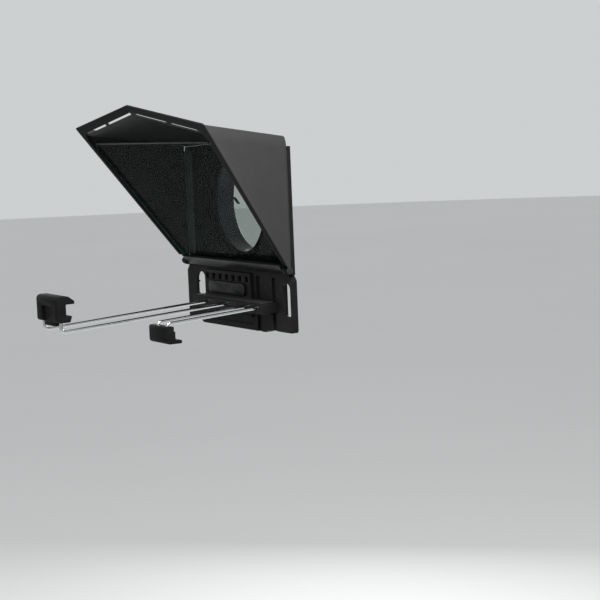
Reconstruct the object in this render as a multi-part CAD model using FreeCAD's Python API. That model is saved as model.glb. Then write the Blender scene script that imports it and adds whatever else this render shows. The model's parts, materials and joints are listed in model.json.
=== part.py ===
import FreeCAD, Part
import math
import os
from FreeCAD import Vector as V

# Teleprompter for a small tablet, carried on the front of a camera lens.
# Millimetres. X is the width, -Y is towards the presenter, +Y towards the camera, +Z up.
# The origin is on the lens axis, in the middle of the adapter ring's thread.

# ---------------------------------------------------------------- driving dimensions
face_y = -17.5            # front face of the apron, in front of the thread
half_width = 76.5         # half the width of the whole body
wall_half = 74.8          # half the width of the upper wall, inside the hood
wall_front = face_y + 1.5
wall_back = face_y + 4.5
wall_side_top = 42.5      # the upper wall's top edge rises from here at the sides
wall_ridge_top = 46.6     # to here in the middle
ledge_z = -49.5           # foot of the upper wall
apron_top = -48.5
apron_bottom = -91.5
apron_depth = 6.0
side_depth = 4.5          # the apron is shallower beside its mechanism housing
housing_x = (-46.4, 61.0)
skin = 2.2                # moulded wall thickness
side_wall = 1.6           # walls of the mechanism housing

thread_r = 38.5           # 77 mm filter thread
thread_half_length = 4.0
adapter_bore_r = 36.0
flange_r = 43.5
run_gap = 0.05            # radial clearance of turning and sliding fits
seat_back = face_y + 12.0

hinge_y = face_y - 1.7    # axis of the glass hinge
hinge_z = -46.0
rim_tip_y = face_y - 79.2
rim_tip_z = 60.8
side_flare = 0.2866       # outward run of a side panel for each millimetre forward
band_apex_u = 147.9       # height of the rim's apex along the slope
apex_setback = 3.9        # the apex lies this far behind the plane of the rim
sheet = 1.2               # thickness of the hood's sheets

holder_x = -12.0          # middle of the holder's carriage
rod_r = 1.25
rod_slope = math.radians(3.4)
rod_z = -72.8             # height of the rods' axes at the apron's front face
carriage_drop = 5.0       # travel of the carriage

lean = math.atan2(hinge_y - rim_tip_y, rim_tip_z - hinge_z)
rim_length = math.hypot(hinge_y - rim_tip_y, rim_tip_z - hinge_z)

parts = {}


# ---------------------------------------------------------------- helpers
def box(x0, x1, y0, y1, z0, z1):
    return Part.makeBox(x1 - x0, y1 - y0, z1 - z0, V(x0, y0, z0))


def rod(start, end, radius):
    start, end = V(*start), V(*end)
    return Part.makeCylinder(radius, (end - start).Length, start, end - start)


def rounded_wire(points, radii):
    """A closed wire through points, with a tangent arc of the given radius at each one."""
    edges = []
    ends = []
    count = len(points)
    for i in range(count):
        here, before, after = points[i], points[i - 1], points[(i + 1) % count]
        if radii[i] == 0:
            ends.append((here, here))
            continue
        to_before = (before - here).normalize()
        to_after = (after - here).normalize()
        half_angle = to_before.getAngle(to_after) / 2
        setback = radii[i] / math.tan(half_angle)
        start = here + to_before * setback
        end = here + to_after * setback
        bisector = (to_before + to_after).normalize()
        centre = here + bisector * (radii[i] / math.sin(half_angle))
        middle = centre - bisector * radii[i]
        edges.append((i, Part.Arc(start, middle, end).toShape()))
        ends.append((start, end))
    arcs = dict(edges)
    ordered = []
    for i in range(count):
        if i in arcs:
            ordered.append(arcs[i])
        leave, arrive = ends[i][1], ends[(i + 1) % count][0]
        if (arrive - leave).Length > 1e-6:
            ordered.append(Part.LineSegment(leave, arrive).toShape())
    return Part.Wire(ordered)


def slab_y(outline, y0, y1, radius=0.0):
    """A plate of the (x, z) outline, from y0 to y1, with rounded corners."""
    points = [V(x, y0, z) for x, z in outline]
    radii = radius if isinstance(radius, (list, tuple)) else [radius] * len(points)
    return Part.Face(rounded_wire(points, radii)).extrude(V(0, y1 - y0, 0))


def slab_x(outline, x0, x1, radius=0.0):
    """A plate of the (y, z) outline, from x0 to x1, with rounded corners."""
    points = [V(x0, y, z) for y, z in outline]
    radii = radius if isinstance(radius, (list, tuple)) else [radius] * len(points)
    return Part.Face(rounded_wire(points, radii)).extrude(V(x1 - x0, 0, 0))


def rect(x0, x1, z0, z1):
    return [(x0, z0), (x1, z0), (x1, z1), (x0, z1)]


def sheet_solid(points, offset):
    """A thin closed sheet: the polygon, fanned into triangles, and its copy moved by offset."""
    front = [V(*p) for p in points]
    back = [p + V(*offset) for p in front]
    count = len(front)
    faces = []
    for i in range(1, count - 1):
        for layer in (front, back):
            corner = [layer[0], layer[i], layer[i + 1], layer[0]]
            faces.append(Part.Face(Part.makePolygon(corner)))
    for i in range(count):
        j = (i + 1) % count
        side = [front[i], front[j], back[j], back[i], front[i]]
        faces.append(Part.Face(Part.makePolygon(side)))
    return fixed(Part.Solid(Part.Shell(faces)))


def fixed(solid):
    """The solid, turned right way out if its volume is negative."""
    return solid if solid.Volume > 0 else solid.reversed()


def fuse(shapes):
    return shapes[0].multiFuse(shapes[1:]).removeSplitter()


def cut(shape, tools):
    return shape.cut(Part.makeCompound(tools))


def mirror(shape):
    return shape.mirror(V(0, 0, 0), V(1, 0, 0))


def both_sides(shape):
    return Part.makeCompound([shape, mirror(shape)])


def leaned(shape):
    """Parts of the glass frame are drawn upright on the hinge and leaned forward to rest."""
    return shape.rotated(V(0, hinge_y, hinge_z), V(1, 0, 0), math.degrees(lean))


def upright(x, u, n):
    """A point of the upright glass frame: u up the slope from the hinge, n behind its plane."""
    return (x, hinge_y + n, hinge_z + u)


def at_rest(x, u, n):
    """The same point with the frame leaned forward."""
    y = hinge_y - u * math.sin(lean) + n * math.cos(lean)
    return (x, y, hinge_z + u * math.cos(lean) + n * math.sin(lean))


def rim_half(u):
    """Half the width of the hood's front rim, u up the slope: it meets the flared sides."""
    return half_width + side_flare * (face_y - (hinge_y - u * math.sin(lean)))


def spring_coil(start, direction, radius, wire_r, length, turns):
    """A helical spring along direction from start."""
    pitch = (length - 2 * wire_r) / turns
    helix = Part.makeLongHelix(pitch, length - 2 * wire_r, radius)
    ring = Part.Wire(Part.makeCircle(wire_r, V(radius, 0, 0), V(0, 1, 0)))
    coil = Part.Wire(helix).makePipeShell([ring], True, True)
    coil.translate(V(0, 0, wire_r))
    turn = FreeCAD.Rotation(V(0, 0, 1), V(*direction))
    coil.Placement = FreeCAD.Placement(V(*start), turn).multiply(coil.Placement)
    return fixed(coil)


# ---------------------------------------------------------------- body: wall and apron
lug_x0 = wall_half - 3.7
lug_r = 3.0
pin_r = 1.3
rivet_head_r = 2.4
vent_count = 7
vent_first_x = -44.2
vent_size = 4.4
vent_pitch = 9.75
vent_top = -53.6
slots = {"left": (-62.4, -48.4), "right": (64.2, 74.0)}
slot_top = {"left": -53.5, "right": -55.5}
slot_bottom = -79.4
carriage_x = (-46.0, 22.0)
carriage_top = -51.0
carriage_bottom = -84.0
carriage_skin = 1.8
short_arm_x = 41.0
groove_x = ((27.6, 33.0), (49.4, 54.3))
insert_x = holder_x
insert_r = 4.0
tripod_hole_r = 2.6
insert_length = 9.0
boss_bottom = apron_bottom - 2.0
seat_screw_ring = 55.0


def rod_height(y):
    """Height of the tilted rods' axes at y."""
    return rod_z + (y - face_y) * math.tan(rod_slope)


def arm_rods(centre_x, spacing):
    return (centre_x - spacing / 2, centre_x + spacing / 2)


long_rods = arm_rods(-10.0, 28.0)
short_rods = arm_rods(short_arm_x, 14.0)


def side_slot_cutters(y0, y1):
    cutters = []
    for side, (x0, x1) in slots.items():
        half = (x1 - x0) / 2
        outline = rect(x0, x1, slot_bottom, slot_top[side])
        cutters.append(slab_y(outline, y0, y1, [0.6, 0.6, half * 0.96, half * 0.96]))
    return cutters


def rod_passages(y0, y1):
    """Upright slots that let the rods pass and move down with the carriage."""
    room = rod_r + 0.6
    low = rod_height(y0) - carriage_drop - room
    high = rod_height(y1) + room
    return [box(x - room, x + room, y0, y1, low, high) for x in long_rods + short_rods]


def main_frame():
    wall = slab_y([(-wall_half, ledge_z), (wall_half, ledge_z), (wall_half, wall_side_top),
                   (0, wall_ridge_top), (-wall_half, wall_side_top)], wall_front, wall_back)
    window = rod((0, wall_front - 1, 0), (0, wall_back + 1, 0), thread_r)
    step = rod((0, wall_front - 1, 0), (0, wall_front + 1.0, 0), thread_r + 3.0)
    wall = cut(wall, [window, step])
    outline = [(-half_width, apron_bottom), (-58, apron_bottom), (-54, boss_bottom),
               (38, boss_bottom), (42, apron_bottom), (half_width, apron_bottom),
               (half_width, ledge_z - 4), (half_width - 4, apron_top),
               (-half_width + 4, apron_top), (-half_width, ledge_z - 4)]
    radii = [2.5, 1, 1, 1, 1, 2.5, 2, 0, 0, 2]
    apron = slab_y(outline, face_y, face_y + apron_depth, radii)
    y0, y1 = face_y + skin, face_y + apron_depth
    z0, z1 = apron_bottom + skin, ledge_z - skin
    housing = box(housing_x[0] + side_wall, housing_x[1] - side_wall, y0, y1, z0, z1)
    wells, steps = [], []
    for x0, x1 in ((-half_width, housing_x[0]), (housing_x[1], half_width)):
        wells.append(box(max(x0, -half_width + skin), min(x1, half_width - skin), y0, y1, z0, z1))
        steps.append(box(x0, x1, face_y + side_depth, y1 + 1, boss_bottom - 1, apron_top + 1))
    apron = cut(apron, [housing] + wells + steps)
    ribs = [box(x - 0.8, x + 0.8, face_y + skin - 0.5, face_y + apron_depth - 1.5,
                apron_bottom + 1, ledge_z - 1) for x in (-34.0, 12.0)]
    ribs += [box(-half_width + 1, slots["left"][0] - 1.5, face_y + skin - 0.5, face_y + side_depth - 0.6,
                 z - 0.7, z + 0.7) for z in (-62.0, -72.0, -82.0)]
    lugs = []
    for sign in (-1, 1):
        x0 = min(sign * lug_x0, sign * wall_half)
        x1 = max(sign * lug_x0, sign * wall_half)
        lugs.append(rod((x0, hinge_y, hinge_z), (x1, hinge_y, hinge_z), lug_r))
        lugs.append(box(x0, x1, hinge_y, wall_front + 0.5, hinge_z - lug_r, hinge_z + lug_r))
    frame = fuse([wall, apron] + ribs + lugs)
    grooves = [box(x0, x1, face_y - 1, face_y + 1.4, apron_bottom - 3, ledge_z - 3)
               for x0, x1 in groove_x]
    vents = [box(x, x + vent_size, face_y - 1, face_y + skin + 1, vent_top - vent_size, vent_top)
             for x in vent_positions()]
    latch_room = box(latch_x[0] + 3, latch_x[1] - 3, face_y - 1, face_y + 1.7,
                     latch_z[0] - carriage_drop - 1, latch_z[1] + 1)
    track = box(carriage_x[0] - 0.2, carriage_x[1] + 0.2, face_y - 1, face_y + 0.6,
                carriage_bottom - carriage_drop - 0.3, carriage_top + 0.2)
    pins = rod((-80, hinge_y, hinge_z), (80, hinge_y, hinge_z), pin_r + run_gap)
    boss_room = box(insert_x - 7, insert_x + 7, face_y + skin, face_y + apron_depth + 1,
                    boss_bottom - 1, boss_bottom + 12)
    tools = grooves + vents + [latch_room, track, pins, boss_room]
    tools += side_slot_cutters(face_y - 2, face_y + 8) + rod_passages(face_y - 2, face_y + 8)
    return cut(frame, tools)


def vent_positions():
    return [vent_first_x + i * vent_pitch for i in range(vent_count)]


latch_x = (-38.5, 15.0)
latch_z = (-68.2, -59.2)


def back_cover():
    y0 = face_y + apron_depth - 1.5 + 0.05
    y1 = face_y + apron_depth
    gap = 0.15
    plate = slab_y(rect(housing_x[0] + side_wall + gap, housing_x[1] - side_wall - gap,
                        apron_bottom + skin + gap, ledge_z - skin - gap), y0, y1, 1.0)
    boss_y1 = face_y + 15.0
    boss_y0 = face_y + skin + 0.1
    boss = slab_y(rect(insert_x - 6.9, insert_x + 6.9, boss_bottom, boss_bottom + 11.0),
                  boss_y0, boss_y1, 1.2)
    cover = fuse([plate, boss])
    insert_y = (boss_y0 + boss_y1) / 2
    socket = rod((insert_x, insert_y, boss_bottom - 1), (insert_x, insert_y, boss_bottom + insert_length),
                 insert_r)
    screws = [rod((x, y0 - 1, z), (x, y1 + 1, z), 1.3) for x, z in cover_screw_places()]
    heads = [rod((x, y1 - 0.8, z), (x, y1 + 1, z), 2.4) for x, z in cover_screw_places()]
    tools = [socket] + screws + heads + rod_passages(y0 - 1, y1 + 1)
    return cut(cover, tools)


def cover_screw_places():
    return [(-40.5, -86.0), (55.5, -86.0), (-40.5, -56.5), (55.5, -56.5)]


def cover_screws():
    y1 = face_y + apron_depth
    screws = []
    for x, z in cover_screw_places():
        head = rod((x, y1 - 0.75, z), (x, y1 + 0.4, z), 2.3)
        shank = rod((x, face_y + skin + 0.1, z), (x, y1 - 0.7, z), 1.2)
        cross = [box(x - 1.4, x + 1.4, y1 - 0.3, y1 + 1, z - 0.25, z + 0.25),
                 box(x - 0.25, x + 0.25, y1 - 0.3, y1 + 1, z - 1.4, z + 1.4)]
        screws.append(cut(fuse([head, shank]), cross))
    return Part.makeCompound(screws)


def tripod_insert():
    insert_y = (face_y + skin + 0.1 + face_y + 15.0) / 2
    bottom = (insert_x, insert_y, boss_bottom)
    top = (insert_x, insert_y, boss_bottom + insert_length)
    sleeve = rod(bottom, top, insert_r)
    return sleeve.cut(rod((insert_x, insert_y, boss_bottom - 1), top, tripod_hole_r))


# ---------------------------------------------------------------- lens seat and adapter ring
plunger_y = face_y + 8.3
plunger_r = 2.0
chamber_r = 3.0
chamber_x = (-59.0, -51.0)
collar_x = (-52.4, -51.2)
seat_r = 45.4             # low enough for the hood's roof to swing over it


def seat_screw_places():
    return [(seat_screw_ring * math.cos(math.radians(a)), seat_screw_ring * math.sin(math.radians(a)))
            for a in (40, 140, 220, 320)]


def lens_seat():
    ring = rod((0, wall_back + 0.02, 0), (0, seat_back, 0), seat_r)
    shapes = [ring]
    for x, z in seat_screw_places():
        ear = rod((x, wall_back + 0.02, z), (x, wall_back + 3.0, z), 4.5)
        shapes.append(ear)
        inner = (x * 0.86, z * 0.86)
        shapes.append(rod((inner[0], wall_back + 0.02, inner[1]),
                          (inner[0], wall_back + 3.0, inner[1]), 6.0))
    shapes.append(box(-61.0, -44.6, wall_back + 0.02, seat_back, -5.0, 5.0))
    seat = fuse(shapes)
    tools = [rod((0, wall_back - 1, 0), (0, seat_back + 1, 0), flange_r + run_gap)]
    tools.append(rod((-62, plunger_y, 0), (-40, plunger_y, 0), plunger_r + run_gap))
    tools.append(rod((-62, plunger_y, 0), (chamber_x[1], plunger_y, 0), chamber_r))
    for x, z in seat_screw_places():
        tools.append(rod((x, wall_back - 1, z), (x, wall_back + 4, z), 1.3))
    return cut(seat, tools)


def seat_screws():
    screws = []
    for x, z in seat_screw_places():
        head = rod((x, wall_back + 3.0, z), (x, wall_back + 4.6, z), 2.4)
        shank = rod((x, wall_back + 0.05, z), (x, wall_back + 3.0, z), 1.2)
        cross = [box(x - 1.4, x + 1.4, wall_back + 3.9, wall_back + 5, z - 0.25, z + 0.25),
                 box(x - 0.25, x + 0.25, wall_back + 3.9, wall_back + 5, z - 1.4, z + 1.4)]
        screws.append(cut(fuse([head, shank]), cross))
    return Part.makeCompound(screws)


def adapter_ring():
    flange_front = wall_back + 0.3
    flange_back = seat_back - 0.3
    groove = (plunger_y - 2.2, plunger_y + 2.2)
    shapes = [rod((0, flange_front, 0), (0, groove[0], 0), flange_r),
              rod((0, groove[0], 0), (0, groove[1], 0), flange_r - 2.2),
              rod((0, groove[1], 0), (0, flange_back, 0), flange_r),
              rod((0, flange_back, 0), (0, -thread_half_length, 0), thread_r + 2.5),
              rod((0, -thread_half_length, 0), (0, thread_half_length, 0), thread_r)]
    ring = fuse(shapes)
    return ring.cut(rod((0, flange_front - 1, 0), (0, thread_half_length + 1, 0), adapter_bore_r))


def lock_pin():
    tip = rod((-flange_r + 1.6, plunger_y, 0), (-72.0, plunger_y, 0), plunger_r)
    collar = rod((collar_x[0], plunger_y, 0), (collar_x[1], plunger_y, 0), chamber_r - 0.1)
    return fuse([tip, collar])


def lock_knob():
    knob = slab_x([(plunger_y - 2.8, -7.5), (plunger_y + 2.8, -7.5), (plunger_y + 2.8, 7.5),
                   (plunger_y - 2.8, 7.5)], -72.0, -66.0, 1.6)
    notches = [box(-73, -65, plunger_y + 2.3, plunger_y + 4, z - 0.5, z + 0.5)
               for z in (-6, -4, -2, 0, 2, 4, 6)]
    notches.append(rod((-73, plunger_y, 0), (-65, plunger_y, 0), plunger_r))
    return cut(knob, notches)


def lock_cap():
    cap = rod((-61.0, plunger_y, 0), (chamber_x[0], plunger_y, 0), chamber_r - 0.02)
    return cap.cut(rod((-62, plunger_y, 0), (-50, plunger_y, 0), plunger_r + run_gap))


def lock_spring():
    length = collar_x[0] - chamber_x[0] - 0.1
    return spring_coil((chamber_x[0] + 0.05, plunger_y, 0), (1, 0, 0), 2.5, 0.3, length, 5)


# ---------------------------------------------------------------- glass frame
glass_n = (0.6, 2.0)      # front and rear face of the glass and its beads, behind the axis
band_n = (-0.9, 0.5)
glass_bottom_u = 3.6
glass_top_u = 115.0
glass_half_bottom = 74.0
bottom_rail_u = (-1.5, 6.0)
bottom_rail_n = (-1.9, 1.6)
bead = 1.35               # width of the beads along the glass
band_start_u = 6.5
band_top = 6.0            # height of the band along the roof
band_side = (3.0, 6.0)    # width of the band up the sides, at the bottom and at the tip


def glass_half(u):
    return glass_half_bottom + side_flare * math.sin(lean) * u


def up_slab(outline, n_range, radius=0.0):
    """A plate of the upright glass frame from an (x, u) outline."""
    points = [(x, hinge_z + u) for x, u in outline]
    return slab_y(points, hinge_y + n_range[0], hinge_y + n_range[1], radius)


def beam_splitter():
    top, bottom = glass_top_u, glass_bottom_u
    outline = [(-glass_half(bottom), bottom), (glass_half(bottom), bottom),
               (glass_half(top), top), (-glass_half(top), top)]
    return leaned(up_slab(outline, glass_n, [1.5, 1.5, 6, 6]))


def bottom_rail():
    u0, u1 = bottom_rail_u
    rail = up_slab(rect(-lug_x0 + 0.3, lug_x0 - 0.3, u0, u1), bottom_rail_n, 0.6)
    rebate = box(-90, 90, hinge_y + glass_n[0] - 0.05, hinge_y + glass_n[1] + 0.05,
                 hinge_z + glass_bottom_u - 0.05, hinge_z + 20)
    pins = both_sides(rod((lug_x0 - 9, hinge_y, hinge_z), (80, hinge_y, hinge_z), pin_r))
    return leaned(cut(rail, [rebate, pins]))


def hinge_pins():
    """Rivets through the side panels and the frame's lugs into the bottom rail."""
    head_x = rim_half(0) + 0.1
    pin = rod((lug_x0 - 9, hinge_y, hinge_z), (head_x + 0.1, hinge_y, hinge_z), pin_r)
    head = rod((head_x, hinge_y, hinge_z), (head_x + 0.9, hinge_y, hinge_z), rivet_head_r)
    return leaned(both_sides(fuse([pin, head])))


def side_rail():
    """Bead along the glass's slanted edge, bonded to the rim band in front of it."""
    u0, u1 = 7.0, glass_top_u - 6.5
    outline = [(glass_half(u0) + 0.05, u0), (glass_half(u0) + bead, u0),
               (glass_half(u1) + bead, u1), (glass_half(u1) + 0.05, u1)]
    return leaned(up_slab(outline, glass_n, 0.4))


def top_rail():
    """Bead along the glass's top edge."""
    u0, u1 = glass_top_u + 0.05, glass_top_u + bead
    half = glass_half(u0) - 6.5
    return leaned(up_slab(rect(-half, half, u0, u1), glass_n, 0.4))


def glass_pads():
    """Thin rubber spots behind the glass, which meet the wall's beads when it is folded."""
    pads = [up_slab(rect(x - 2, x + 2, 60.0, 66.0), (glass_n[1], glass_n[1] + 0.3), 0.8)
            for x in (-67.0, 67.0)]
    return leaned(Part.makeCompound(pads))


def rim_band():
    """Flat band round the hood's mouth: two slanted sides and two halves of a low gable."""
    thick = band_n[1] - band_n[0]
    u0 = band_start_u
    tip = rim_length
    inner_tip_u = tip - band_top
    solids = []
    for sign in (-1, 1):
        side = [(sign * (rim_half(u0) - band_side[0]), u0), (sign * rim_half(u0), u0),
                (sign * rim_half(tip), tip), (sign * (rim_half(tip) - band_side[1]), inner_tip_u)]
        solids.append(up_slab(side, band_n, 0))
        gable = [(sign * rim_half(tip), tip, 0), (0, band_apex_u, apex_setback),
                 (0, band_apex_u - band_top, apex_setback),
                 (sign * (rim_half(tip) - band_side[1]), inner_tip_u, 0)]
        points = [upright(x, u, n + band_n[0]) for x, u, n in gable]
        solids.append(sheet_solid(points, (0, thick, 0)))
        corner = [(sign * (rim_half(tip) - band_side[1]), inner_tip_u + 0.01),
                  (sign * (rim_half(tip - 9) - 5.8), tip - 17),
                  (sign * (rim_half(tip) - 20), inner_tip_u + 1.0)]
        solids.append(up_slab(corner, band_n, 0))
    return leaned(fuse(solids))


# ---------------------------------------------------------------- hood sheets
roof_clear = 0.7          # the roof starts this far behind the plane of the rim
roof_gap = 3.5            # open slit between the rim band and the roof's front edge
tab_half = 2.6            # half the width of a tab that joins the roof to the band
side_low_z = -46.8        # lower and upper end of the side panels' rear edges
side_top_z = 49.6
side_low_u = 1.0
tab_share = (0.03, 0.5)   # where the tabs stand, as shares of the half width


def hood_side(sign):
    """Flared side panel: upright at the wall, slanted along the rim."""
    back_y = wall_front - 0.1
    back_x = half_width + side_flare * (face_y - back_y)
    n = band_n[1] + 0.1
    front_low = at_rest(rim_half(0), side_low_u, n)
    front_top = at_rest(rim_half(rim_length - 1.0), rim_length - 1.0, n)
    points = [(back_x, back_y, side_low_z), front_low, front_top, (back_x, back_y, side_top_z)]
    points = [(sign * (half_width + side_flare * (face_y - y)), y, z) for x, y, z in points]
    panel = sheet_solid(points, (-sign * (sheet - 0.1), 0, 0))
    hole = rod((sign * 70, hinge_y, hinge_z), (sign * 80, hinge_y, hinge_z), pin_r + 0.02)
    seat_x = rim_half(0) + 0.08
    head_seat = rod((sign * seat_x, hinge_y, hinge_z), (sign * 80, hinge_y, hinge_z),
                    rivet_head_r + 0.1)
    return cut(panel, [hole, head_seat])


def roof_front(share, u_up, n_back):
    """A point along the gable's inner edge: share 0 at the apex, 1 at the side."""
    u_side = rim_length - band_top + u_up
    u_mid = band_apex_u - band_top + u_up
    x_side = rim_half(rim_length - band_top) - sheet - 1.4
    x = 0.15 + share * (x_side - 0.15)
    return x, u_mid + share * (u_side - u_mid), apex_setback * (1 - share) + n_back


def hood_roof(sign):
    """Half of the low gable roof, with tabs forward to the rim band."""
    front = [roof_front(share, -roof_gap, roof_clear) for share in (1, 0)]
    corners = [at_rest(sign * x, u, n) for x, u, n in front]
    corners.append((sign * 0.15, wall_front - 0.3, wall_ridge_top + 0.6))
    corners.append((sign * (wall_half - 0.3), wall_front - 0.3, wall_side_top + 0.6))
    solids = [sheet_solid(corners, (0, 0, 0.9))]
    for share in tab_share:
        points = []
        for side, u_up, n_back in ((-1, -roof_gap - 0.4, roof_clear + 0.4),
                                   (1, -roof_gap - 0.4, roof_clear + 0.4),
                                   (1, 1.6, band_n[1] + 0.1), (-1, 1.6, band_n[1] + 0.1)):
            x, u, n = roof_front(share, u_up, n_back)
            points.append(at_rest(sign * max(x + side * tab_half, 0.15), u, n))
        solids.append(sheet_solid(points, (0, 0.5, 0.8)))
    return fuse(solids)


def corner_strip():
    """Light seal along the wall's edge: two raised beads with a groove between them."""
    z0, z1 = -40.8, wall_side_top - 3.0
    wide_bead = box(64.0, 69.6, wall_front - 0.8, wall_front, z0, z1)
    web = box(69.6, 71.8, wall_front - 0.3, wall_front, z0, z1)
    edge_bead = box(71.8, wall_half, wall_front - 0.8, wall_front, z0, z1)
    return fuse([wide_bead, web, edge_bead])


# ---------------------------------------------------------------- tablet holder
socket_z = (rod_z - 5.4, -70.6)
socket_depth = 13.0
socket_x = (-46.0, 56.0)


def holder_carriage():
    plate_back = face_y + 0.5
    plate = slab_y(rect(carriage_x[0], carriage_x[1], carriage_bottom, carriage_top),
                   face_y - carriage_skin, plate_back, 2.0)
    sockets = slab_y(rect(socket_x[0], socket_x[1], socket_z[0], socket_z[1]),
                     face_y - socket_depth, face_y - 0.1, 1.0)
    carriage = fuse([plate, sockets])
    tools = [tilted_bore(x) for x in long_rods + short_rods]
    tools += [box(x, x + vent_size, face_y - 3, face_y + 2, vent_top - vent_size, vent_top)
              for x in vent_positions()]
    tools.append(slab_y(rect(latch_x[0] - 0.15, latch_x[1] + 0.15, latch_z[0] - 0.15, latch_z[1] + 0.15),
                        face_y - 3, face_y - 0.9, 3.65))
    tools.append(box(latch_x[0] + 8, latch_x[1] - 8, face_y - 3, face_y + 2,
                     latch_z[0] + 2.5, latch_z[1] - 2.5))
    return cut(carriage, tools)


def tilted_bore(x):
    y0, y1 = face_y - 20.0, face_y + 8.0
    return rod((x, y0, rod_height(y0)), (x, y1, rod_height(y1)), rod_r + run_gap)


def rear_pad():
    pad = slab_y(rect(socket_x[0] + 2, socket_x[1] - 2, socket_z[1], socket_z[1] + 1.0),
                 face_y - socket_depth + 1, face_y - carriage_skin - 0.3, 0.3)
    return pad


def latch_plate():
    button = slab_y(rect(latch_x[0], latch_x[1], latch_z[0], latch_z[1]),
                    face_y - 3.2, face_y - 2.1, 3.5)
    stem = box(latch_x[0] + 8.2, latch_x[1] - 8.2, face_y - 2.2, face_y - 0.3,
               latch_z[0] + 2.7, latch_z[1] - 2.7)
    ribs = [box(x - 0.4, x + 0.4, face_y - 4, face_y - 2.9, latch_z[0] + 2, latch_z[1] - 2)
            for x in (-18, -15, -12, -9, -6)]
    return cut(fuse([button, stem]), ribs)


def latch_springs():
    springs = [spring_coil((x, face_y - 0.85, (latch_z[0] + latch_z[1]) / 2), (0, -1, 0),
                           1.0, 0.15, 1.15, 2) for x in (latch_x[0] + 5, latch_x[1] - 5)]
    return Part.makeCompound(springs)


def wire_path(points, radius):
    """A wire of straight runs joined by arcs of the radius."""
    edges = []
    start = points[0]
    for before, here, after in zip(points, points[1:], points[2:]):
        to_before = (before - here).normalize()
        to_after = (after - here).normalize()
        half_angle = to_before.getAngle(to_after) / 2
        setback = radius / math.tan(half_angle)
        bisector = (to_before + to_after).normalize()
        centre = here + bisector * (radius / math.sin(half_angle))
        arc_start = here + to_before * setback
        arc_end = here + to_after * setback
        edges.append(Part.LineSegment(start, arc_start).toShape())
        edges.append(Part.Arc(arc_start, centre - bisector * radius, arc_end).toShape())
        start = arc_end
    edges.append(Part.LineSegment(start, points[-1]).toShape())
    return Part.Wire(edges)


def arm_wire(rods, front_y, rise, back_y):
    """U-shaped wire: both rods run forward from a closed end and turn up, or down, into a clip."""
    x0, x1 = rods
    points = [V(x0, front_y, rod_height(front_y) + rise), V(x0, front_y, rod_height(front_y)),
              V(x0, back_y, rod_height(back_y)), V(x1, back_y, rod_height(back_y)),
              V(x1, front_y, rod_height(front_y)), V(x1, front_y, rod_height(front_y) + rise)]
    path = wire_path(points, 3.2)
    first = points[1] - points[0]
    section = Part.Wire(Part.makeCircle(rod_r, points[0], first))
    return fixed(path.makePipeShell([section], True, False))


long_front_y = face_y - 147.6
short_front_y = face_y - 87.0
long_clip_x = (-27.5, 7.5)
short_clip_x = (28.0, 54.0)
grip = (-70.0, -61.7)     # the long clip's jaw, round a tablet's edge
tablet_front_y = face_y - 144.35


def long_arm_wire():
    return arm_wire(long_rods, long_front_y, 9.5, face_y + 11.0)


def short_arm_wire():
    return arm_wire(short_rods, short_front_y, -7.0, face_y + 11.0)


def long_clip():
    x0, x1 = long_clip_x
    front = face_y - 151.4
    profile = [(front, -74.6), (tablet_front_y + 2.6, -74.6), (tablet_front_y + 4.2, -70.0),
               (tablet_front_y - 0.3, -70.0), (tablet_front_y - 0.3, grip[1]),
               (tablet_front_y + 6.4, grip[1]), (tablet_front_y + 6.4, -59.6),
               (tablet_front_y + 1.6, -56.0), (front, -56.0)]
    radii = [2.0, 1.2, 0.4, 0.8, 0.8, 0.5, 0.8, 2.2, 3.2]
    clip = slab_x(profile, x0, x1, radii)
    middle = (x0 + x1) / 2
    recess = box(middle - 9.5, middle + 9.5, front - 1, front + 1.8, -76, -63.4)
    clip = clip.cut(recess)
    lip = slab_y(rect(middle - 9.4, middle + 9.4, -77.4, -72.0), front + 1.8, front + 6.4, 1.6)
    return fuse([clip, lip]).cut(long_arm_wire())


def long_clip_pad():
    x0, x1 = long_clip_x
    return box(x0 + 3, x1 - 3, tablet_front_y - 0.3, tablet_front_y + 0.3, -69.2, -62.6)


def short_clip():
    x0, x1 = short_clip_x
    top = rod_height(short_front_y) - 1.4
    back, front = short_front_y + 5.4, short_front_y - 3.6
    profile = [(front, top - 12.4), (front, top), (short_front_y + 2.4, top),
               (short_front_y + 2.4, top - 3.6), (short_front_y + 3.4, top - 3.6),
               (short_front_y + 3.4, top - 10.0), (back + 3.0, top - 10.0), (back + 3.0, top - 12.4)]
    clip = slab_x(profile, x0, x1, [2.6, 1.6, 0.8, 0.4, 0.4, 0.4, 0.4, 0.8])
    return clip.cut(short_arm_wire())


def short_clip_pad():
    x0, x1 = short_clip_x
    top = rod_height(short_front_y) - 1.4
    return box(x0 + 3, x1 - 3, short_front_y + 3.4, short_front_y + 4.0, top - 9.4, top - 4.2)


# ---------------------------------------------------------------- assembly
parts["main_frame"] = main_frame()
parts["back_cover"] = back_cover()
parts["cover_screws"] = cover_screws()
parts["tripod_insert"] = tripod_insert()
parts["lens_seat"] = lens_seat()
parts["seat_screws"] = seat_screws()
parts["adapter_ring"] = adapter_ring()
parts["lock_pin"] = lock_pin()
parts["lock_knob"] = lock_knob()
parts["lock_cap"] = lock_cap()
parts["lock_spring"] = lock_spring()
parts["beam_splitter"] = beam_splitter()
parts["glass_bottom_rail"] = bottom_rail()
parts["glass_hinge_pins"] = hinge_pins()
parts["glass_side_rail_right"] = side_rail()
parts["glass_side_rail_left"] = mirror(side_rail())
parts["glass_top_rail"] = top_rail()
parts["glass_stop_pads"] = glass_pads()
parts["hood_rim_band"] = rim_band()
parts["hood_side_right"] = hood_side(1)
parts["hood_side_left"] = hood_side(-1)
parts["hood_roof_right"] = hood_roof(1)
parts["hood_roof_left"] = hood_roof(-1)
parts["hood_strip_right"] = corner_strip()
parts["hood_strip_left"] = mirror(corner_strip())
parts["holder_carriage"] = holder_carriage()
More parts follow.
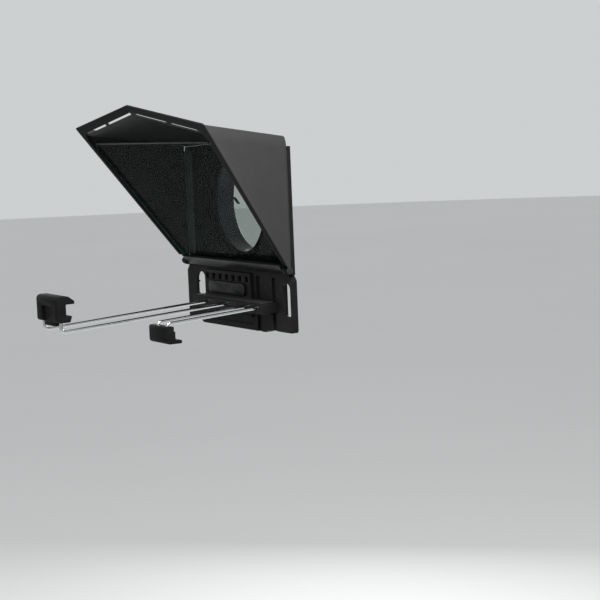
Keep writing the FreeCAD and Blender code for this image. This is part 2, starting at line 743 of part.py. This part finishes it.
parts["holder_rear_pad"] = rear_pad()
parts["latch_plate"] = latch_plate()
parts["latch_springs"] = latch_springs()
parts["long_arm_wire"] = long_arm_wire()
parts["long_arm_clip"] = long_clip()
parts["long_arm_pad"] = long_clip_pad()
parts["short_arm_wire"] = short_arm_wire()
parts["short_arm_clip"] = short_clip()
parts["short_arm_pad"] = short_clip_pad()

os.makedirs("parts", exist_ok=True)
for name, shape in parts.items():
    shape.exportStep(f"parts/{name}.step")
    print(name, "solids", len(shape.Solids), "volume", round(shape.Volume), "valid", shape.isValid())
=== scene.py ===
import json
import math

import bmesh
import bpy
from mathutils import Euler, Matrix, Vector


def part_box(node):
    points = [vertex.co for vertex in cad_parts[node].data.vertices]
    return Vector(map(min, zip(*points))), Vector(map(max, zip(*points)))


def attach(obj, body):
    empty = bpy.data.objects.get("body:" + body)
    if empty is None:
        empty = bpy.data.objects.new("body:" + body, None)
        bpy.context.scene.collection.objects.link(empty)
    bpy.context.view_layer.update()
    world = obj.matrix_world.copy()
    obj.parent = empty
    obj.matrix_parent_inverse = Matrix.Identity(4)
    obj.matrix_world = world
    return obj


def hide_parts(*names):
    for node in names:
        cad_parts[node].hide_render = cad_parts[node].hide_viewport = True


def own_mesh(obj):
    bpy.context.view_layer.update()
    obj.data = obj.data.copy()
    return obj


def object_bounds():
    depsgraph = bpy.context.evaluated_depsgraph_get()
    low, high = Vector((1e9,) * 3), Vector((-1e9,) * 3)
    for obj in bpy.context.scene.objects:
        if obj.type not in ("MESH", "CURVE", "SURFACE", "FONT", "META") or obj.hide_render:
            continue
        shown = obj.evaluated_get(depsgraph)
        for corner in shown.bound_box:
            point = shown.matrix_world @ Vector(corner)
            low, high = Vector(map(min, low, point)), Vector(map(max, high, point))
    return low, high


# Looks of the teleprompter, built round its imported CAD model. Metres.
# +X is the width, -Y faces the presenter, +Y the camera, and the lens axis is at x = z = 0.

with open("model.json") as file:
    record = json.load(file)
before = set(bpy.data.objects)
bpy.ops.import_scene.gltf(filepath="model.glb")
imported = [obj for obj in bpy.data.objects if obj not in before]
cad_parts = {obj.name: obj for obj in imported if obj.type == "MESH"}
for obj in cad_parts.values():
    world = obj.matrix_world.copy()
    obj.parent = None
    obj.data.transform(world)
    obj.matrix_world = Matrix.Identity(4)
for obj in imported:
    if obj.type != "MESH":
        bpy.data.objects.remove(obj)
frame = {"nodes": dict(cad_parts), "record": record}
cad_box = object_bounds()
record = frame["record"]

MM = 0.001

# ------------------------------------------------------------------ sizes read from the frame
side_low, side_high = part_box("hood_side_right")
strip_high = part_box("hood_strip_right")[1]
ring_low, ring_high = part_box("adapter_ring")

hinge = next(j for j in record["behaviour"]["joints"] if j["name"] == "glass_fold")
hinge_y, hinge_z = hinge["pos_m"][1], hinge["pos_m"][2]
lean = math.radians(hinge["range_deg"][1])        # the glass leans forward by this much at rest

wall_front = strip_high.y                         # front face of the upper wall
wall_half = strip_high.x
hood_back_y = side_high.y                         # rear edge of the hood's side panels
side_flare = 0.2866                               # outward run for each step forward
hood_half = side_high.x - side_flare * (hood_back_y - side_low.y)
side_bottom = side_low.z

# ------------------------------------------------------------------ sizes of the looks
sheet_thick = 1.1 * MM
side_top_back = 49.6 * MM
rim_length = 131.96 * MM  # up the slope, from the hinge to the mouth's outer corners
apex_rise = 147.9 * MM
apex_setback = 3.9 * MM
band_top = 6.0 * MM
band_side = (3.0 * MM, 6.0 * MM)
band_n = (-0.9 * MM, 0.5 * MM)
roof_clear = -0.2 * MM
roof_corner_clear = 0.9 * MM
roof_gap = 2.5 * MM
roof_ridge_back = 47.2 * MM
roof_side_back = 43.1 * MM


# ------------------------------------------------------------------ small helpers
def smooth_step(low, high, value):
    t = min(1.0, max(0.0, (value - low) / (high - low)))
    return t * t * (3 - 2 * t)


def lerp(a, b, t):
    return a + (b - a) * t


def at_rest(x, up, behind):
    """A point of the glass frame: up the slope from the hinge, behind its plane."""
    y = hinge_y - up * math.sin(lean) + behind * math.cos(lean)
    z = hinge_z + up * math.cos(lean) + behind * math.sin(lean)
    return Vector((x, y, z))


def rim_half(up):
    """Half the hood's width at its rim, where the flared sides end."""
    forward = hood_back_y - (hinge_y - up * math.sin(lean))
    return hood_half + side_flare * forward


def new_piece(name, bm, material, body, replaced):
    """The finished bmesh as a smooth-shaded piece that rides on a body."""
    mesh = bpy.data.meshes.new(name)
    bm.normal_update()
    bm.to_mesh(mesh)
    bm.free()
    piece = bpy.data.objects.new(name, mesh)
    bpy.context.collection.objects.link(piece)
    mesh.materials.append(material)
    shade_by_angle(piece, 40)
    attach(piece, body)
    if replaced:
        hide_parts(*replaced)
    return piece


def shade_by_angle(piece, degrees):
    """Smooth shading that keeps edges sharper than the angle."""
    mesh = piece.data
    mesh.polygons.foreach_set("use_smooth", [True] * len(mesh.polygons))
    mesh.set_sharp_from_angle(angle=math.radians(degrees))


def bevel_sharp_edges(bm, width, degrees, segments=2):
    """Rounds the edges sharper than the angle and marks the new faces for wear."""
    wear = bm.faces.layers.float.get("edge_wear") or bm.faces.layers.float.new("edge_wear")
    limit = math.radians(degrees)
    edges = [e for e in bm.edges if len(e.link_faces) == 2 and e.calc_face_angle(0) > limit
             and e.calc_length() > width * 0.2]
    made = bmesh.ops.bevel(bm, geom=edges, offset=width, offset_type="OFFSET", segments=segments,
                           profile=0.5, affect="EDGES", clamp_overlap=True)
    for face in made["faces"]:
        face[wear] = 1.0


def sheet_from_grid(grid, thickness, edge_radius):
    """A closed sheet: the grid is its outer face, and the inner face lies thickness below it."""
    bm = bmesh.new()
    rows, columns = len(grid), len(grid[0])

    def normal(i, j):
        along = grid[min(i + 1, rows - 1)][j] - grid[max(i - 1, 0)][j]
        across = grid[i][min(j + 1, columns - 1)] - grid[i][max(j - 1, 0)]
        return along.cross(across).normalized()

    outer = [[bm.verts.new(p) for p in row] for row in grid]
    inner = [[bm.verts.new(grid[i][j] - normal(i, j) * thickness) for j in range(columns)]
             for i in range(rows)]
    for i in range(rows - 1):
        for j in range(columns - 1):
            bm.faces.new((outer[i][j], outer[i + 1][j], outer[i + 1][j + 1], outer[i][j + 1]))
            bm.faces.new((inner[i][j], inner[i][j + 1], inner[i + 1][j + 1], inner[i + 1][j]))
    border = [(0, j) for j in range(columns)] + [(i, columns - 1) for i in range(1, rows)]
    border += [(rows - 1, j) for j in range(columns - 2, -1, -1)]
    border += [(i, 0) for i in range(rows - 2, 0, -1)]
    for (i, j), (k, l) in zip(border, border[1:] + border[:1]):
        bm.faces.new((outer[i][j], outer[k][l], inner[k][l], inner[i][j]))
    bmesh.ops.recalc_face_normals(bm, faces=bm.faces)
    bevel_sharp_edges(bm, edge_radius, 60)
    return bm


# ------------------------------------------------------------------ materials
def new_material(name):
    material = bpy.data.materials.new(name)
    material.use_nodes = True
    tree = material.node_tree
    shader = tree.nodes["Principled BSDF"]
    return material, tree, shader


def link(tree, source, target):
    tree.links.new(source, target)


def noise(tree, scale, detail, roughness=0.5):
    """Noise of the given number of features a metre, fixed to the object."""
    place = tree.nodes.new("ShaderNodeTexCoord")
    node = tree.nodes.new("ShaderNodeTexNoise")
    node.inputs["Scale"].default_value = scale
    node.inputs["Detail"].default_value = detail
    node.inputs["Roughness"].default_value = roughness
    link(tree, place.outputs["Object"], node.inputs["Vector"])
    return node.outputs["Fac"]


def remap(tree, value, low, high, from_low=0.3, from_high=0.7):
    node = tree.nodes.new("ShaderNodeMapRange")
    node.inputs["From Min"].default_value = from_low
    node.inputs["From Max"].default_value = from_high
    node.inputs["To Min"].default_value = low
    node.inputs["To Max"].default_value = high
    link(tree, value, node.inputs["Value"])
    return node.outputs["Result"]


def mixed(tree, factor, first, second):
    """Colour between first and second; each is a colour or a socket."""
    node = tree.nodes.new("ShaderNodeMix")
    node.data_type = "RGBA"
    for index, value in ((6, first), (7, second)):
        if isinstance(value, tuple):
            node.inputs[index].default_value = (*value, 1.0)
        else:
            link(tree, value, node.inputs[index])
    link(tree, factor, node.inputs[0])
    return node.outputs[2]


def multiplied(tree, first, second):
    node = tree.nodes.new("ShaderNodeMath")
    node.operation = "MULTIPLY"
    for index, value in enumerate((first, second)):
        if isinstance(value, float):
            node.inputs[index].default_value = value
        else:
            link(tree, value, node.inputs[index])
    return node.outputs[0]


def bump(tree, shader, height, distance, strength):
    node = tree.nodes.new("ShaderNodeBump")
    node.inputs["Distance"].default_value = distance
    node.inputs["Strength"].default_value = strength
    link(tree, height, node.inputs["Height"])
    rounded = tree.nodes.new("ShaderNodeBevel")
    rounded.samples = 4
    rounded.inputs["Radius"].default_value = 0.25 * MM
    link(tree, rounded.outputs["Normal"], node.inputs["Normal"])
    link(tree, node.outputs["Normal"], shader.inputs["Normal"])


def moulded(name, colour, roughness, grain=3200.0, depth=0.01 * MM, metallic=0.0,
            worn=(0.08, 0.08, 0.082), wear=0.3, mottle=0.10, specular=0.28, uneven=0.05):
    """Plastic or painted metal: fine grain, faint mottling, uneven gloss, rubbed edges."""
    material, tree, shader = new_material(name)
    dark = tuple(c * (1 - mottle) for c in colour)
    light = tuple(min(1.0, c * (1 + mottle)) for c in colour)
    base = mixed(tree, remap(tree, noise(tree, 90.0, 5.0), 0.0, 1.0), dark, light)
    attribute = tree.nodes.new("ShaderNodeAttribute")
    attribute.attribute_name = "edge_wear"
    rubbed = multiplied(tree, attribute.outputs["Fac"],
                        remap(tree, noise(tree, 420.0, 3.0), 0.0, wear, 0.42, 0.68))
    link(tree, mixed(tree, rubbed, base, worn), shader.inputs["Base Color"])
    link(tree, remap(tree, noise(tree, 260.0, 3.0), roughness - uneven, roughness + uneven),
         shader.inputs["Roughness"])
    shader.inputs["Metallic"].default_value = metallic
    shader.inputs["Specular IOR Level"].default_value = specular
    bump(tree, shader, noise(tree, grain, 2.0, 0.6), depth, 0.2)
    return material


def turned_metal(name, colour, roughness):
    """Bright metal with a faintly mottled tone, uneven gloss and a fine grain."""
    material, tree, shader = new_material(name)
    shader.inputs["Metallic"].default_value = 1.0
    tone = remap(tree, noise(tree, 700.0, 4.0), 0.0, 1.0)
    dark = tuple(c * 0.82 for c in colour)
    link(tree, mixed(tree, tone, dark, colour), shader.inputs["Base Color"])
    link(tree, remap(tree, noise(tree, 1500.0, 2.0), roughness * 0.7, roughness * 1.4),
         shader.inputs["Roughness"])
    bump(tree, shader, noise(tree, 4000.0, 2.0), 0.01 * MM, 0.2)
    return material


def coated_glass():
    """Clear half-mirror glass: see-through faces with a weak reflection, and greenish edges."""
    material, tree, shader = new_material("beam_splitter_glass")
    clear = tree.nodes.new("ShaderNodeBsdfTransparent")
    clear.inputs["Color"].default_value = (0.66, 0.70, 0.68, 1.0)
    gloss = tree.nodes.new("ShaderNodeBsdfGlossy")
    gloss.inputs["Roughness"].default_value = 0.015
    gloss.inputs["Color"].default_value = (0.95, 0.97, 1.0, 1.0)
    facing = tree.nodes.new("ShaderNodeLayerWeight")
    facing.inputs["Blend"].default_value = 0.25
    face = tree.nodes.new("ShaderNodeMixShader")
    link(tree, remap(tree, facing.outputs["Fresnel"], 0.003, 0.03, 0.10, 1.0), face.inputs["Fac"])
    link(tree, clear.outputs[0], face.inputs[1])
    link(tree, gloss.outputs[0], face.inputs[2])
    shader.inputs["Base Color"].default_value = (0.045, 0.085, 0.075, 1.0)
    shader.inputs["Roughness"].default_value = 0.2
    geometry = tree.nodes.new("ShaderNodeNewGeometry")
    across = tree.nodes.new("ShaderNodeVectorMath")
    across.operation = "DOT_PRODUCT"
    across.inputs[1].default_value = (0.0, -math.cos(lean), -math.sin(lean))
    local = tree.nodes.new("ShaderNodeVectorTransform")
    local.vector_type, local.convert_from, local.convert_to = "NORMAL", "WORLD", "OBJECT"
    link(tree, geometry.outputs["True Normal"], local.inputs[0])
    link(tree, local.outputs[0], across.inputs[0])
    size = tree.nodes.new("ShaderNodeMath")
    size.operation = "ABSOLUTE"
    link(tree, across.outputs["Value"], size.inputs[0])
    is_face = remap(tree, size.outputs[0], 0.0, 1.0, 0.6, 0.7)
    both = tree.nodes.new("ShaderNodeMixShader")
    link(tree, is_face, both.inputs["Fac"])
    link(tree, shader.outputs[0], both.inputs[1])
    link(tree, face.outputs[0], both.inputs[2])
    link(tree, both.outputs[0], tree.nodes["Material Output"].inputs["Surface"])
    return material


looks = {
    "moulded_black": moulded("moulded_black", (0.0080, 0.0080, 0.0082), 0.50, specular=0.07),
    "gloss_black": moulded("satin_black", (0.0075, 0.0075, 0.0077), 0.36, grain=3600.0,
                           depth=0.015 * MM, specular=0.18),
    "clip_black": moulded("clip_black", (0.0070, 0.0070, 0.0072), 0.42, depth=0.012 * MM,
                          specular=0.03),
    "grey_strip": moulded("strip_grey", (0.110, 0.110, 0.111), 0.50),
    "hood_sheet": moulded("hood_sheet", (0.031, 0.031, 0.0308), 0.52, grain=1800.0,
                          depth=0.012 * MM, mottle=0.04, wear=0.10, specular=0.05, uneven=0.015),
    "rubber": moulded("soft_rubber", (0.014, 0.014, 0.014), 0.72, grain=1500.0, depth=0.05 * MM),
    "steel": turned_metal("steel", (0.56, 0.56, 0.57), 0.26),
    "blackened_steel": moulded("blackened_steel", (0.035, 0.035, 0.038), 0.34, metallic=0.7),
    "anodised_black": moulded("anodised_black", (0.040, 0.040, 0.043), 0.32, metallic=0.85,
                              worn=(0.4, 0.4, 0.41), grain=5000.0, depth=0.008 * MM),
    "brass": turned_metal("brass", (0.72, 0.53, 0.24), 0.28),
    "chromed_wire": turned_metal("chromed_wire", (0.60, 0.61, 0.62), 0.12),
    "coated_glass": coated_glass(),
}
slot_of = {s["node"]: s["material_slot"] for s in record["subparts"]}
body_of = {n: body for body, nodes in record["behaviour"]["bodies"].items() for n in nodes}


# ------------------------------------------------------------------ hood
def side_panel(sign):
    """Flared side panel: a soft fold and crease along its top, a raised hem along its slanted
    edge, and its rear edge tucked in."""
    rows, columns = 80, 70
    fold_width, fold_slope = 6.4 * MM, 0.17
    crease_width, crease_depth = 0.7 * MM, 0.14 * MM
    hem_width, hem_height, hem_blend = 2.3 * MM, 0.35 * MM, 0.6 * MM
    tuck_width, tuck_depth = 1.6 * MM, 0.7 * MM
    corner = 3.2 * MM
    dish = 0.9 * MM
    tip_up = rim_length - 1.0 * MM
    low_up = 1.0 * MM
    behind = band_n[1] + 0.1 * MM
    outward = Vector((1.0, side_flare, 0.0)).normalized()
    edge_dir = (at_rest(0, 1, 0) - at_rest(0, 0, 0)).normalized()
    grid = []
    for i in range(rows):
        b = i / (rows - 1)
        front = at_rest(0, lerp(low_up, tip_up, b), behind)
        back = Vector((0, hood_back_y, lerp(side_bottom, side_top_back, b)))
        row = []
        for j in range(columns):
            a = j / (columns - 1)
            p = back.lerp(front, a)
            forward = hood_back_y - p.y
            top_z = lerp(side_top_back, at_rest(0, tip_up, behind).z,
                         forward / (hood_back_y - at_rest(0, tip_up, behind).y))
            if forward < corner:
                drop = corner - math.sqrt(corner ** 2 - (corner - forward) ** 2)
                p.z -= drop * smooth_step(0.8, 1.0, b)
            below = max(0.0, top_z - p.z)
            from_edge = ((p - front).cross(edge_dir)).length
            height = -fold_slope * max(0.0, fold_width - below)
            height -= crease_depth * math.exp(-((below - fold_width) / crease_width) ** 2)
            height += hem_height * (1 - smooth_step(hem_width, hem_width + hem_blend, from_edge))
            height -= dish * math.sin(math.pi * a) * math.sin(math.pi * b)
            height -= tuck_depth * (1 - smooth_step(0.0, tuck_width, forward))
            p.x = hood_half + side_flare * forward
            p += outward * (height - hem_height)
            row.append(Vector((sign * p.x, p.y, p.z)))
        grid.append(row if sign > 0 else row[::-1])
    return grid


def roof_front_point(share, up, behind):
    """A point along the gable's inner edge: share 0 at the apex, 1 at the side."""
    side_inset = 2.6 * MM
    x_side = rim_half(rim_length - band_top) - side_inset
    rise = lerp(apex_rise, rim_length, share) - band_top + up
    behind += roof_corner_clear * smooth_step(0.86, 0.97, share)
    return at_rest(x_side * share, rise, apex_setback * (1 - share) + behind)


def roof_sheet():
    """One continuous roof: a soft ridge, a little sag, and lips turned up against the sides."""
    rows, columns = 60, 121
    ridge = 0.022
    sag = 1.1 * MM
    wall_gap = 0.3 * MM
    lip_share, lip_rise = 0.955, 4.4 * MM
    front_curl = 0.5 * MM
    grid = []
    for i in range(rows):
        t = i / (rows - 1)
        row = []
        for j in range(columns):
            s = lerp(-1, 1, j / (columns - 1))
            share = min(1.0, math.sqrt(s * s + ridge * ridge) - ridge * (1 - abs(s)))
            back = Vector((share * (wall_half - wall_gap), wall_front - wall_gap,
                           lerp(roof_ridge_back, roof_side_back, share)))
            front = roof_front_point(share, -roof_gap, roof_clear)
            p = back.lerp(front, t)
            p.z -= sag * math.sin(math.pi * t) * math.sin(math.pi * share)
            p.z += lip_rise * smooth_step(lip_share, 1.0, share) * smooth_step(-0.1, 0.25, t)
            p.z += front_curl * smooth_step(0.965, 1.0, t)
            p.z += sheet_thick * 0.3
            p.x *= 1 if s > 0 else -1
            row.append(p)
        grid.append(row)
    return grid


def tab_strip(share, half):
    """A tab that bridges the slit between the roof's front edge and the rim band."""
    steps = 6
    overlap, reach = 1.2 * MM, 2.2 * MM
    grid = []
    for k in range(steps + 1):
        t = k / steps
        up = lerp(-roof_gap - overlap, reach, t)
        behind = lerp(roof_clear + overlap, band_n[1] + 0.05 * MM, math.sin(t * math.pi / 2))
        middle = roof_front_point(abs(share), up, behind)
        x = middle.x if share >= 0 else -middle.x
        grid.append([Vector((x + side * half, middle.y, middle.z)) for side in (-1, 0, 1)])
    return grid


def rounded_corner(before, here, after, radius, steps):
    """Points of a tangent arc that rounds the corner at here."""
    to_before, to_after = (before - here).normalized(), (after - here).normalized()
    half = to_before.angle(to_after) / 2
    reach = radius / math.tan(half)
    centre = here + (to_before + to_after).normalized() * (radius / math.sin(half))
    start, end = here + to_before * reach - centre, here + to_after * reach - centre
    sweep = start.angle(end)
    return [centre + (start * math.sin((1 - k / steps) * sweep) + end * math.sin(k / steps * sweep))
            / math.sin(sweep) for k in range(steps + 1)]


def rim_band():
    """The band round the hood's mouth: slanted sides, low gable, rounded inside corners."""
    low_up = 6.5 * MM
    along, arc_steps, across = 24, 10, 4
    corners = {
        "outer": [Vector((rim_half(low_up), low_up)), Vector((rim_half(rim_length), rim_length)),
                  Vector((0, apex_rise))],
        "inner": [Vector((rim_half(low_up) - band_side[0], low_up)),
                  Vector((rim_half(rim_length) - band_side[1], rim_length - band_top)),
                  Vector((0, apex_rise - band_top))]}
    radii = {"outer": 1.2 * MM, "inner": 9.0 * MM}
    lines = {}
    for name, (low, tip, apex) in corners.items():
        low3, tip3, apex3 = low.to_3d(), tip.to_3d(), apex.to_3d()
        arc = rounded_corner(low3, tip3, apex3, radii[name], arc_steps)
        half = [low3.lerp(arc[0], k / along) for k in range(along)] + arc
        half += [arc[-1].lerp(apex3, k / along) for k in range(1, along + 1)]
        lines[name] = half + [Vector((-p.x, p.y, 0)) for p in half[-2::-1]]

    def place(p, behind):
        share = max(0.0, 1 - abs(p.x) / rim_half(rim_length))
        in_gable = smooth_step(rim_length - 3 * band_top, rim_length - band_top, p.y)
        return at_rest(p.x, p.y, behind + apex_setback * share * in_gable)

    return [[place(inner.lerp(outer, k / across), band_n[0]) for k in range(across + 1)]
            for inner, outer in zip(lines["inner"], lines["outer"])]


sheet_look = looks["hood_sheet"]
for label, sign in (("right", 1), ("left", -1)):
    panel = sheet_from_grid(side_panel(sign), sheet_thick, 0.22 * MM)
    new_piece(f"hood_panel_{label}", panel, sheet_look, "glass_frame", [f"hood_side_{label}"])
roof = sheet_from_grid(roof_sheet(), sheet_thick * 0.8, 0.2 * MM)
new_piece("hood_roof", roof, sheet_look, "glass_frame", ["hood_roof_right", "hood_roof_left"])
tabs = (("apex", 0.0, 3.4 * MM), ("right", 0.5, 2.6 * MM), ("left", -0.5, 2.6 * MM))
for label, share, half in tabs:
    tab = sheet_from_grid(tab_strip(share, half), 0.8 * MM, 0.15 * MM)
    new_piece(f"hood_tab_{label}", tab, sheet_look, "glass_frame", [])
band = sheet_from_grid(rim_band(), -(band_n[1] - band_n[0]), 0.25 * MM)
# The band is the same sheet as the hood, but its colour is about four times darker than hood_sheet:
# painted shade on the band round the mouth.
painted_shade_band_look = moulded("hood_band", (0.0075, 0.0075, 0.0077), 0.50, grain=1800.0, depth=0.02 * MM,
                    mottle=0.04, wear=0.10, specular=0.04, uneven=0.02)
new_piece("hood_band", band, painted_shade_band_look, "glass_frame", ["hood_rim_band"])


# ------------------------------------------------------------------ CAD parts with rounded edges
def softened(node, width, degrees=28):
    """The CAD part's own shape with its sharp edges rounded, standing in for the node."""
    bm = bmesh.new()
    bm.from_mesh(frame["nodes"][node].data)
    bmesh.ops.remove_doubles(bm, verts=bm.verts, dist=0.002 * MM)
    if width:
        bmesh.ops.dissolve_limit(bm, angle_limit=math.radians(0.6), verts=bm.verts, edges=bm.edges)
    bmesh.ops.recalc_face_normals(bm, faces=bm.faces)
    if width:
        bevel_sharp_edges(bm, width, degrees)
    piece_slot = slot_of[node]
    return new_piece(f"{node}_soft", bm, looks[piece_slot], body_of[node], [node])


edge_radius = {
    "lock_knob": 0.25, "lock_cap": 0.15, "glass_bottom_rail": 0.25, "hood_strip_right": 0.25,
    "hood_strip_left": 0.25, "holder_carriage": 0.3, "holder_rear_pad": 0.2,
    "latch_plate": 0.22, "long_arm_clip": 0.4, "short_arm_clip": 0.35,
    "glass_side_rail_right": 0.2, "glass_side_rail_left": 0.2, "glass_top_rail": 0.2,
    "glass_hinge_pins": 0.2, "lock_pin": 0.2, "tripod_insert": 0.15,
}
for node, radius in edge_radius.items():
    softened(node, radius * MM)


def sprung(node):
    """A coil spring: the CAD part as a smooth-shaded piece with a mesh of its own."""
    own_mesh(softened(node, 0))


sprung("lock_spring")
sprung("latch_springs")


def thread_height(turn):
    """Height across one turn of a rounded thread, 0 at its root and 1 at its crest."""
    return 0.5 - 0.5 * math.cos(2 * math.pi * (turn % 1.0))


def adapter_ring():
    """Screw ring: a grooved flange that turns in its seat, and a fine helical thread behind it."""
    around, steps_per_turn = 180, 8
    pitch, depth = 0.75 * MM, 0.42 * MM
    bore, flange, shoulder = 36.0 * MM, ring_high.x, 41.0 * MM
    core = 38.5 * MM - depth
    chamfer, groove_floor = 0.4 * MM, flange - 2.2 * MM
    front, back = ring_low.y, ring_high.y
    thread_start, run_in = -4.0 * MM, 0.8 * MM
    profile = [(bore, front + 0.6 * MM), (bore + 0.6 * MM, front), (flange - chamfer, front),
               (flange, front + chamfer), (flange, front + 1.3 * MM),
               (groove_floor, front + 1.3 * MM), (groove_floor, front + 5.7 * MM),
               (flange, front + 5.7 * MM), (flange, front + 6.5 * MM),
               (flange - chamfer, front + 6.9 * MM), (shoulder, front + 6.9 * MM),
               (shoulder, -4.4 * MM), (shoulder - chamfer, thread_start)]
    thread_rows = int((back + 4.0 * MM) / pitch * steps_per_turn)
    rows = [[(r, y)] * around for r, y in profile]
    for k in range(thread_rows + 1):
        y = thread_start + k * pitch / steps_per_turn
        ends = smooth_step(thread_start, -3.2 * MM, y) * (1 - smooth_step(back - run_in, back, y))
        rows.append([(core + depth * ends * thread_height(y / pitch - i / around), y)
                     for i in range(around)])
    rows += [[(core - chamfer, back)] * around, [(bore + chamfer, back)] * around,
             [(bore, back - chamfer)] * around]
    glare_steps, glare_height = 18, 0.25 * MM         # fine steps that break up glare in the bore
    rows += [[(bore - glare_height * (k % 2), back - (1.6 + 0.7 * k) * MM)] * around
             for k in range(glare_steps)]
    bm = bmesh.new()
    rings = []
    for row in rows:
        angles = [2 * math.pi * i / around for i in range(around)]
        rings.append([bm.verts.new((r * math.cos(a), y, r * math.sin(a)))
                      for a, (r, y) in zip(angles, row)])
    for first, second in zip(rings, rings[1:] + rings[:1]):
        for i in range(around):
            j = (i + 1) % around
            bm.faces.new((first[i], first[j], second[j], second[i]))
    bmesh.ops.recalc_face_normals(bm, faces=bm.faces)
    new_piece("adapter_thread_ring", bm, looks["anodised_black"], "adapter", ["adapter_ring"])


adapter_ring()

for node, obj in frame["nodes"].items():
    if not obj.hide_render:
        obj.data.materials.clear()
        obj.data.materials.append(looks[slot_of[node]])


# ------------------------------------------------------------------ stage, light and camera
def stage_floor():
    """A wide pale disc, well below the object."""
    floor_radius, floor_drop = 9.0, 0.40
    bpy.ops.mesh.primitive_circle_add(vertices=96, radius=floor_radius, fill_type="NGON",
                                      location=(0, 0, cad_box[0].z - floor_drop))
    floor = bpy.context.active_object
    floor.name = "floor"
    material, tree, shader = new_material("pale_floor")
    tone = remap(tree, noise(tree, 1.5, 3.0), 0.0, 1.0)
    link(tree, mixed(tree, tone, (0.72, 0.72, 0.715), (0.74, 0.74, 0.735)),
         shader.inputs["Base Color"])
    shader.inputs["Roughness"].default_value = 0.6
    floor.data.materials.append(material)


def soft_light(name, direction, distance, size, power):
    """A square softbox that faces the object from the direction."""
    data = bpy.data.lights.new(name, "AREA")
    data.shape, data.size, data.energy = "SQUARE", size, power
    light = bpy.data.objects.new(name, data)
    bpy.context.collection.objects.link(light)
    centre = (cad_box[0] + cad_box[1]) / 2
    toward = Vector(direction).normalized()
    light.location = centre + toward * distance
    light.rotation_mode = "QUATERNION"
    light.rotation_quaternion = toward.to_track_quat("Z", "Y")


def pale_world():
    world = bpy.data.worlds.new("studio")
    bpy.context.scene.world = world
    world.use_nodes = True
    background = world.node_tree.nodes["Background"]
    background.inputs["Color"].default_value = (0.80, 0.82, 0.83, 1.0)
    background.inputs["Strength"].default_value = 0.76


def add_camera():
    """A viewpoint about 58 degrees round to the right of the front and about 6 degrees above."""
    data = bpy.data.cameras.new("camera")
    data.lens, data.sensor_width = 102.2, 36.0
    data.clip_start, data.clip_end = 0.05, 50.0
    camera = bpy.data.objects.new("camera", data)
    bpy.context.collection.objects.link(camera)
    camera.location = (1.1007, -0.6612, 0.0657)
    back = Vector((0.8392, -0.5328, 0.1092)).normalized()
    roll = math.radians(-2.32)
    camera.rotation_mode = "QUATERNION"
    camera.rotation_quaternion = back.to_track_quat("Z", "Y")
    camera.rotation_quaternion @= Euler((0, 0, roll)).to_quaternion()
    bpy.context.scene.camera = camera


stage_floor()
pale_world()
soft_light("key", (0.62, -0.22, 0.72), distance=0.47, size=0.26, power=6.3)
soft_light("rear_left", (-0.9, 0.9, 0.10), distance=0.9, size=0.4, power=4)
soft_light("rear_right", (0.45, 0.95, 0.25), distance=1.5, size=0.9, power=2.2)
bpy.context.scene.view_settings.view_transform = "Standard"
add_camera()
